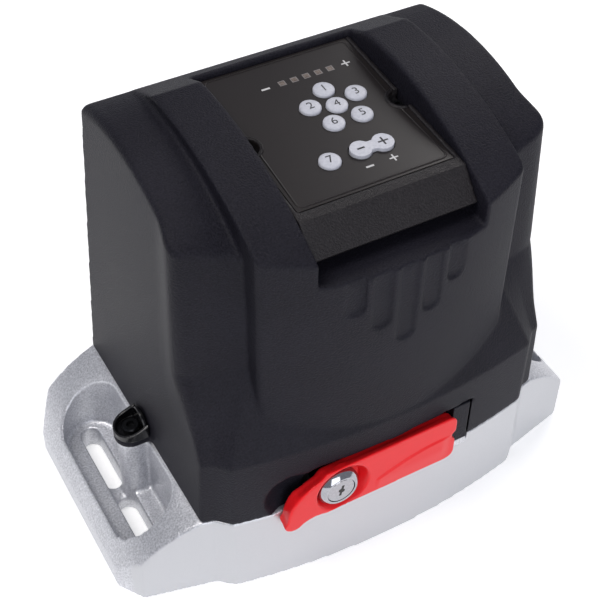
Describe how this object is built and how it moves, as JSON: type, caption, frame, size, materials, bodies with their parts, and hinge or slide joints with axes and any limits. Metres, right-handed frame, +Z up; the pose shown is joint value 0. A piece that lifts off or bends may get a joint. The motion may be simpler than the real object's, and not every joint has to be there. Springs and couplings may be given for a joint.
{
  "type": "sliding gate motor",
  "caption": "Sliding gate motor: cast flanged base, moulded cover with a sunken keypad, key-locked release lever, worm gearbox and rack pinion at the back.",
  "frame": {"origin": "on the base's underside, midway between the four fixing slots", "axes": "+Z up, -Y towards the front with the release lever, +X to the right flange seen from the front; the pinion turns about Y at the back"},
  "size_m": [0.281, 0.2, 0.238],
  "materials": {
    "cast_alloy": "sand-cast, lightly sparkling",
    "cover_plastic": "fine moulded grain",
    "panel_plastic": "satin",
    "key_grey": "satin",
    "lamp_lens": "clear tinted",
    "lever_red": "glossy",
    "cap_black": "glossy",
    "housing_black": "fine grain",
    "steel": "ground",
    "zinc_steel": "bright zinc plated",
    "chrome": "polished",
    "bronze": "machined",
    "laminated_steel": "stacked sheets, varnished",
    "copper": "enamelled wire",
    "circuit_board": "solder mask",
    "relay_black": "glossy",
    "terminal_green": "moulded",
    "can_white": "glossy",
    "gasket_paper": "pressed paper",
    "rubber_black": "matt"
  },
  "bodies": {
    "root": {"base_casting": "cast_alloy", "cover_shell": "cover_plastic", "cover_screws": "zinc_steel", "screw_caps": "cap_black", "keypad_housing": "housing_black", "keypad_panel": "panel_plastic", "lamp_windows": "lamp_lens", "keypad_screws": "zinc_steel", "keypad_board": "circuit_board", "gearbox_cover": "cast_alloy", "gearbox_gasket": "gasket_paper", "gearbox_screws": "zinc_steel", "output_bearings": "bronze", "output_seal": "rubber_black", "motor_lower_bell": "cast_alloy", "motor_upper_bell": "cast_alloy", "stator_core": "laminated_steel", "stator_windings": "copper", "motor_tie_bolts": "zinc_steel", "rotor_bearings": "steel", "board_bracket": "zinc_steel", "board_spacers": "steel", "control_board": "circuit_board", "board_screws": "zinc_steel", "board_relays": "relay_black", "terminal_block": "terminal_green", "transformer": "laminated_steel", "start_capacitor": "can_white", "capacitor_clip": "zinc_steel", "cable_grommet": "rubber_black"},
    "lever": {"release_lever": "lever_red", "release_shaft": "steel", "release_cam": "steel", "lock_barrel": "chrome", "lever_hinge_block": "cover_plastic", "lever_hinge_shoe": "cast_alloy"},
    "lock": {"lock_plug": "chrome", "lock_cam": "zinc_steel"},
    "push_rod": {"release_rod": "steel"},
    "output": {"output_shaft": "steel", "worm_wheel": "bronze", "drive_pinion": "steel", "pinion_key": "steel", "pinion_washer": "zinc_steel", "pinion_bolt": "zinc_steel"},
    "rotor": {"worm_shaft": "steel", "rotor_core": "laminated_steel"},
    "rocker": {"rocker_key": "key_grey"},
    "button_1": {"key_1": "key_grey"},
    "button_2": {"key_2": "key_grey"},
    "button_3": {"key_3": "key_grey"},
    "button_4": {"key_4": "key_grey"},
    "button_5": {"key_5": "key_grey"},
    "button_6": {"key_6": "key_grey"},
    "button_7": {"key_7": "key_grey"}
  },
  "joints": [
    {"name": "lever_swing", "type": "hinge", "parent": "root", "child": "lever", "pos_m": [0.03, -0.073, 0.045], "axis": [0, 0, 1], "range_deg": [0, 90]},
    {"name": "lock_turn", "type": "hinge", "parent": "lever", "child": "lock", "pos_m": [-0.0325, -0.0895, 0.0625], "axis": [0, 1, 0], "range_deg": [0, 90]},
    {"name": "rod_slide", "type": "slide", "parent": "root", "child": "push_rod", "axis": [0, 1, 0], "range_m": [0, 0.0036]},
    {"name": "output_turn", "type": "hinge", "parent": "root", "child": "output", "pos_m": [0, 0.005, 0.078], "axis": [0, 1, 0], "continuous": true},
    {"name": "rotor_turn", "type": "hinge", "parent": "root", "child": "rotor", "pos_m": [0.045, 0.005, 0.078], "axis": [0, 0, 1], "continuous": true},
    {"name": "key_1_press", "type": "slide", "parent": "root", "child": "button_1", "axis": [0, 0.0628, -0.998], "range_m": [0, 0.001], "stiffness_N_per_m": 800},
    {"name": "key_2_press", "type": "slide", "parent": "root", "child": "button_2", "axis": [0, 0.0628, -0.998], "range_m": [0, 0.001], "stiffness_N_per_m": 800},
    {"name": "key_3_press", "type": "slide", "parent": "root", "child": "button_3", "axis": [0, 0.0628, -0.998], "range_m": [0, 0.001], "stiffness_N_per_m": 800},
    {"name": "key_4_press", "type": "slide", "parent": "root", "child": "button_4", "axis": [0, 0.0628, -0.998], "range_m": [0, 0.001], "stiffness_N_per_m": 800},
    {"name": "key_5_press", "type": "slide", "parent": "root", "child": "button_5", "axis": [0, 0.0628, -0.998], "range_m": [0, 0.001], "stiffness_N_per_m": 800},
    {"name": "key_6_press", "type": "slide", "parent": "root", "child": "button_6", "axis": [0, 0.0628, -0.998], "range_m": [0, 0.001], "stiffness_N_per_m": 800},
    {"name": "key_7_press", "type": "slide", "parent": "root", "child": "button_7", "axis": [0, 0.0628, -0.998], "range_m": [0, 0.001], "stiffness_N_per_m": 800},
    {"name": "rocker_tilt", "type": "hinge", "parent": "root", "child": "rocker", "pos_m": [0.0104, -0.03249, 0.21866], "axis": [0, 0.998, 0.0628], "range_deg": [-2.5, 2.5], "stiffness_Nm_per_rad": 0.2}
  ],
  "couplings": [
    {"joint": "rod_slide", "follows": "lever_swing", "m_per_rad": 0.002165},
    {"joint": "rotor_turn", "follows": "output_turn", "ratio": 36}
  ]
}
